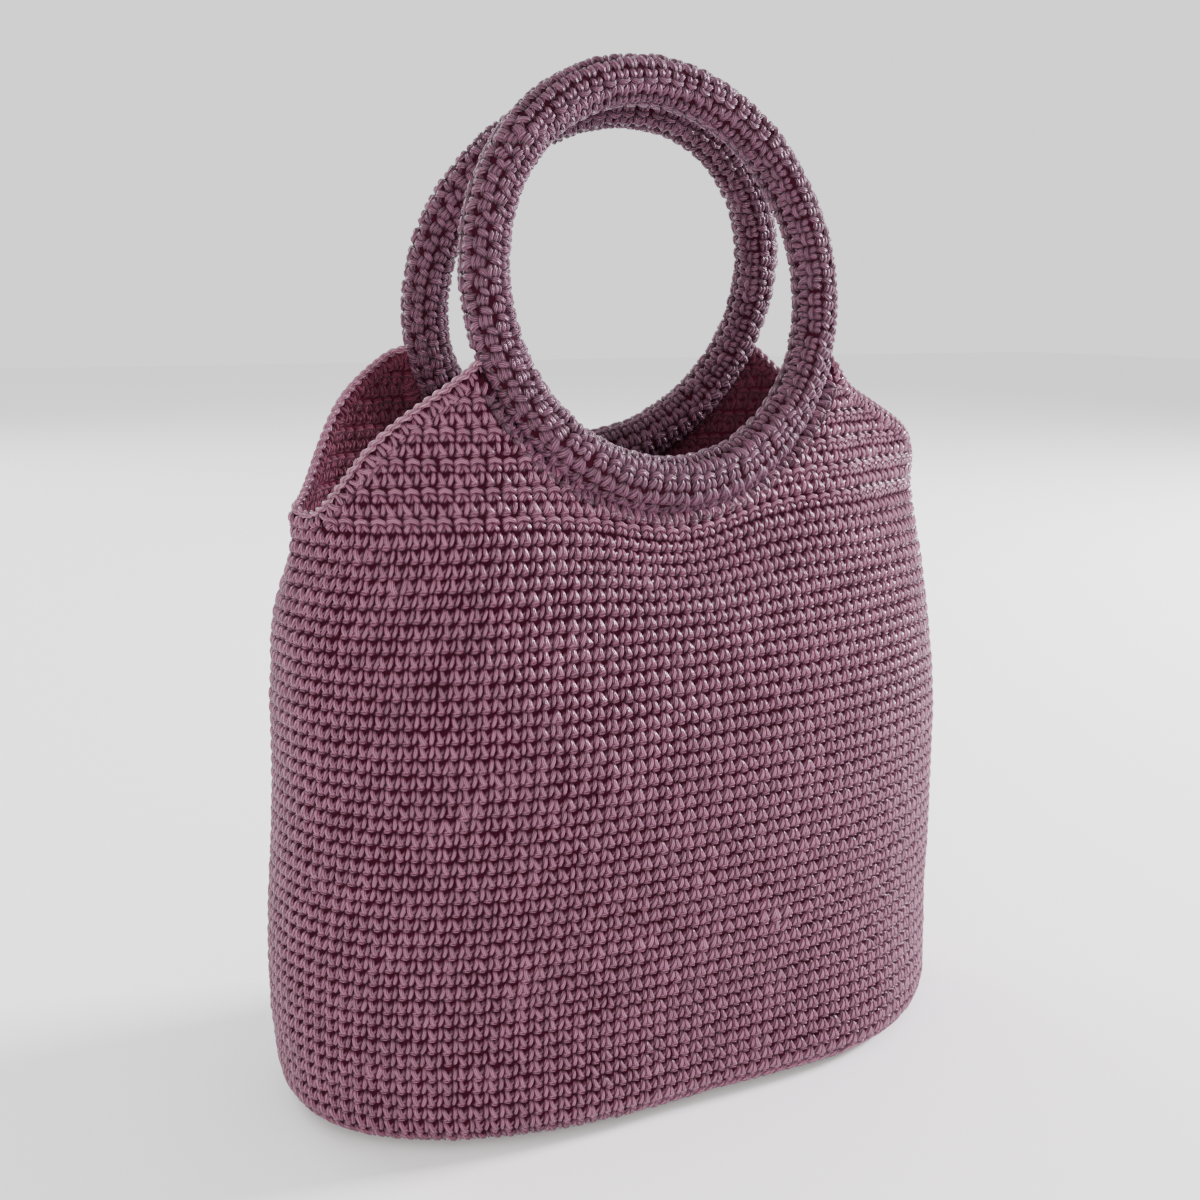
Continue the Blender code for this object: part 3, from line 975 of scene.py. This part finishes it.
half = COLUMNS // 2
for name, handle, first, last in (("front", FRONT, 0, half), ("back", BACK, half, COLUMNS)):
    outer, inner = Work(), Work()
    top = TOPS[first : last + 1, 2].max()
    peaks = first + NOTCH_COLUMNS, last - NOTCH_COLUMNS
    ends = (range(first, peaks[0] + 1), range(peaks[1], last + 1))
    border = np.concatenate([border_cells(end, BORDER) for end in ends])
    seam_columns = range(peaks[0] + SEAM_START, peaks[1] - SEAM_START + 1)
    seam = border_cells(seam_columns, SEAM_ROW)
    edge = np.concatenate((border, seam))[:, 2:, :3].mean(1)
    z = NOTCH_HEIGHT
    row = 0
    while z < top:
        cells = flap_cells(z, first, last, ROW_SHIFT * (row + len(rounds)))
        middles = cells[:, :, :3].mean(1)
        gap = handle.distance(middles)
        off = (middles - handle.centre) @ np.stack((handle.across, handle.up), 1)
        outside_ring = np.hypot(off[:, 0], off[:, 1]) > RING_RADIUS
        keep = (gap > BAR_RADIUS - SEAM_TUCK) & outside_ring
        apart = np.linalg.norm(middles[:, None] - edge[None], axis=2).min(1)
        keep &= apart > BORDER_CLEAR * BORDER
        kind = front_stitch if row % 2 else back_stitch
        outer.stitch(cells[keep], kind)
        inner.stitch(turned(cells[keep]), small_front if kind is back_stitch else small_back)
        z += ROW
        row += 1
    outer.stitch(border, front_stitch, BACKING + OVERLAP)
    inner.stitch(turned(border), small_front, BACKING + OVERLAP)
    inner.stitch(turned(seam), small_front, BACKING + OVERLAP)
    under_ring = Work()
    under_ring.stitch(seam, front_stitch, BACKING + OVERLAP)
    under_ring.make("seam_row_" + name, ring_yarn_painted_shade, "yarn_body")
    outer.make("flap_" + name + "_outside", yarn, "yarn_body")
    inner.make("flap_" + name + "_inside", inside_yarn_painted_shade, "yarn_body")

# The core of the fabric, under the stitches of both sides, painted near black as the shade that
# shows between them


def grid_faces(rows, columns, closed_rows=None):
    """Faces of a grid of points that is closed along its rows, and across them if it says so."""
    around = closed_rows or rows + 1
    return [
        (
            r * columns + c,
            r * columns + (c + 1) % columns,
            (r + 1) % around * columns + (c + 1) % columns,
            (r + 1) % around * columns + c,
        )
        for r in range(rows)
        for c in range(columns)
    ]


mesh = bpy.data.meshes.new("fabric_core")
rows, columns = GRID.shape[:2]
faces = grid_faces(rows - 1, columns)
faces.append(tuple(range(columns - 1, -1, -1)))
mesh.from_pydata(GRID.reshape(-1, 3), [], faces)
mesh.shade_smooth()
mesh.materials.append(painted_shade_core)
mesh.materials.append(painted_shade_core_inside)
core = bpy.data.objects.new("fabric_core", mesh)
bpy.context.scene.collection.objects.link(core)
thick = core.modifiers.new("Thickness", "SOLIDIFY")
thick.thickness = 2 * BACKING
thick.offset = 0.0
thick.material_offset = 1
thick.material_offset_rim = 1
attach(core, "root")
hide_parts("bag_body")

# The covered rings


def on_ring(handle, around, about, rise):
    """Points on the cover: around the ring, about the bar and rise above the cover's foot."""
    fuller = RING_FULLER * np.maximum(-np.sin(around), 0.0) ** FULLER_POWER
    bar = BAR_RADIUS + RING_PROUD - RING_CREST + fuller + rise
    out = np.cos(around)[..., None] * handle.across + np.sin(around)[..., None] * handle.up
    return (
        handle.centre
        + out * (RING_RADIUS + bar * np.cos(about))[..., None]
        + handle.front * (bar * np.sin(about))[..., None]
    )


RING_KINDS = (  # below and above, then at the sides, for each row about the bar
    (ring_star, ring_star),
    (ring_star, ring_fan),
    (ring_cap, ring_fan),
    (ring_star, ring_cap),
    (ring_cap, ring_star),
    (ring_beads, ring_beads),
    (ring_cap, ring_cap),
    (ring_star, ring_fan),
    (ring_beads, ring_star),
    (ring_star, ring_cap),
)
for name, handle in (("front", FRONT), ("back", BACK)):
    around, about = (2 * math.pi * np.arange(n) / n for n in (RING_STEPS, BAR_STEPS))
    around, about = np.meshgrid(around, about, indexing="ij")
    mesh = bpy.data.meshes.new("ring_core_" + name)
    faces = grid_faces(RING_STEPS, BAR_STEPS, RING_STEPS)
    mesh.from_pydata(on_ring(handle, around, about, 0.0).reshape(-1, 3), [], faces)
    mesh.shade_smooth()
    # The ring's core is painted near black too, as the shade between the cover's stitches.
    mesh.materials.append(painted_shade_core)
    core = bpy.data.objects.new("ring_core_" + name, mesh)
    bpy.context.scene.collection.objects.link(core)
    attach(core, "root")
    work = Work()
    step = 2 * math.pi / RING_STITCHES
    for row, kinds in enumerate(RING_KINDS):
        starts = (np.arange(RING_STITCHES) + RING_ROW_SHIFT * row) % RING_STITCHES
        beside = np.abs(np.cos(starts * step)) > RING_SIDES
        for kind, kept in zip(kinds, (~beside, beside)):
            points = loosened(kind[0], kept.sum(), RING_LOOSENESS)
            s, t, n = (points[:, :, i] for i in range(3))
            around = (starts[kept, None] + s) * step
            about = (row + t) * 2 * math.pi / len(RING_KINDS)
            work.add(on_ring(handle, around, about, n), kind)
    cover = work.make("ring_cover_" + name, ring_yarn_painted_shade, "yarn_ring")
    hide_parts("ring_handle_" + name)

# The edging of the notches, two strands that turn about each other


def edging_path(columns):
    """Middle of the edging, which rides on the fabric's edge and ends in the rings' covers."""
    path = np.array([TOPS[c] + edge_out(GRID, c) * ROPE_RISE for c in columns])
    return path[np.minimum(FRONT.distance(path), BACK.distance(path)) > BAR_RADIUS - ROPE_TUCK]


def rope(name, path, node_name):
    """Makes the edging along a path, in place of a node."""
    run = np.r_[0, np.cumsum(np.linalg.norm(np.diff(path, axis=0), axis=1))]
    count = int(run[-1] / ROPE_STEP)
    at = np.linspace(0, run[-1], count)
    fine = np.stack([np.interp(at, run, path[:, i]) for i in range(3)], 1)
    for _ in range(ROPE_SMOOTHING):
        fine[1:-1] = (fine[:-2] + 2 * fine[1:-1] + fine[2:]) / 4
    way = unit(np.gradient(fine, axis=0))
    side = unit(np.cross(way, (0.0, 0.0, 1.0)) + ROPE_NUDGE)
    for i in range(1, count):
        side[i] = side[i - 1] - way[i] * (side[i - 1] @ way[i])
        side[i] /= np.linalg.norm(side[i])
    other = np.cross(way, side)
    work = Work()
    angle = 2 * math.pi * np.arange(ROPE_SIDES + 1) / ROPE_SIDES
    for strand in (0, 1):
        turn = 2 * math.pi * at / ROPE_PITCH + math.pi * strand
        swing = np.cos(turn)[:, None] * side + np.sin(turn)[:, None] * other
        middle = fine + ROPE_SWING * swing
        verts, uv, lift = [], [], []
        for k, a in enumerate(angle):
            out = math.cos(a) * side + math.sin(a) * other
            verts.append(middle + ROPE_STRAND * out)
            uv.append(np.stack((at / ROPE_PLY, np.full(count, 2.0 * k / ROPE_SIDES)), 1))
            # Painted shade: the lift falls towards the rope's middle, between its strands.
            away = np.linalg.norm(verts[-1] - fine, axis=1) / CHAIN_RADIUS
            lift.append(ROPE_LEAST_LIFT + (1 - ROPE_LEAST_LIFT) * away)
        verts = np.stack(verts, 1).reshape(1, -1, 3)
        across = ROPE_SIDES + 1
        quads = [
            (
                i * across + k,
                (i + 1) * across + k,
                (i + 1) * across + k + 1,
                i * across + k + 1,
            )
            for i in range(count - 1)
            for k in range(ROPE_SIDES)
        ]
        pattern = (
            None,
            np.array(quads),
            np.stack(uv, 1).reshape(-1, 2),
            np.stack(lift, 1).ravel(),
            np.zeros(verts.shape[1], int),
        )
        work.add(verts, pattern)
    piece = work.make(name, edging_yarn, "yarn_edging")
    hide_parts(node_name)


left_notch = [c % COLUMNS for c in range(NOTCH_COLUMNS, -NOTCH_COLUMNS - 1, -1)]
right_notch = range(half - NOTCH_COLUMNS, half + NOTCH_COLUMNS + 1)
rope("edging_chain_left", edging_path(left_notch), "edging_left")
rope("edging_chain_right", edging_path(right_notch), "edging_right")

# Floor, light and camera

FLOOR_SIZE = 12
FLOOR_GAP = 0.0002
bpy.ops.mesh.primitive_plane_add(size=FLOOR_SIZE, location=(0, 0, -FLOOR_GAP))
floor = bpy.context.object
floor.name = "floor"
pale = bpy.data.materials.new("floor_pale")
pale.use_nodes = True
pale_shader = pale.node_tree.nodes["Principled BSDF"]
pale_shader.inputs["Base Color"].default_value = (0.90, 0.90, 0.90, 1)
pale_shader.inputs["Roughness"].default_value = 0.9
floor.data.materials.append(pale)

world = bpy.data.worlds.new("studio")
world.use_nodes = True
world.node_tree.nodes["Background"].inputs["Color"].default_value = (1, 1, 1, 1)
world.node_tree.nodes["Background"].inputs["Strength"].default_value = 1.38
bpy.context.scene.world = world


def area_light(name, place, target, size, power, colour):
    data = bpy.data.lights.new(name, "AREA")
    data.size = size
    data.energy = power
    data.color = colour
    lamp = bpy.data.objects.new(name, data)
    lamp.location = place
    lamp.rotation_mode = "QUATERNION"
    lamp.rotation_quaternion = (Vector(target) - Vector(place)).to_track_quat("-Z", "Y")
    bpy.context.scene.collection.objects.link(lamp)


for light in (  # name, place, what it aims at, size, power, colour
    ("key", (2.5, -0.3, 1.10), (0, 0, 0.18), 0.52, 225, (1.0, 0.90, 1.0)),
    ("fill", (-0.9, -1.3, 0.38), (0, 0, 0.12), 1.0, 27, (1.0, 0.97, 0.91)),
    ("back", (-0.8, 2.2, 1.5), (0, 0, 0.15), 1.6, 45, (1.0, 0.96, 0.98)),
):
    area_light(*light)

camera = bpy.data.objects.new("camera", bpy.data.cameras.new("camera"))
bpy.context.scene.collection.objects.link(camera)
camera.data.sensor_width = 36.0
camera.data.lens = 45.76
camera.data.clip_start = 0.01
place = (-0.2792, -0.4969, 0.2880)
right = Vector((0.8792, -0.4764, 0.0048))
upward = Vector((0.0885, 0.1734, 0.9809))
ahead = Vector((0.4681, 0.8620, -0.1946))
turn = Matrix((right, upward, -ahead)).transposed().to_4x4()
camera.matrix_world = Matrix.Translation(place) @ turn
bpy.context.scene.camera = camera
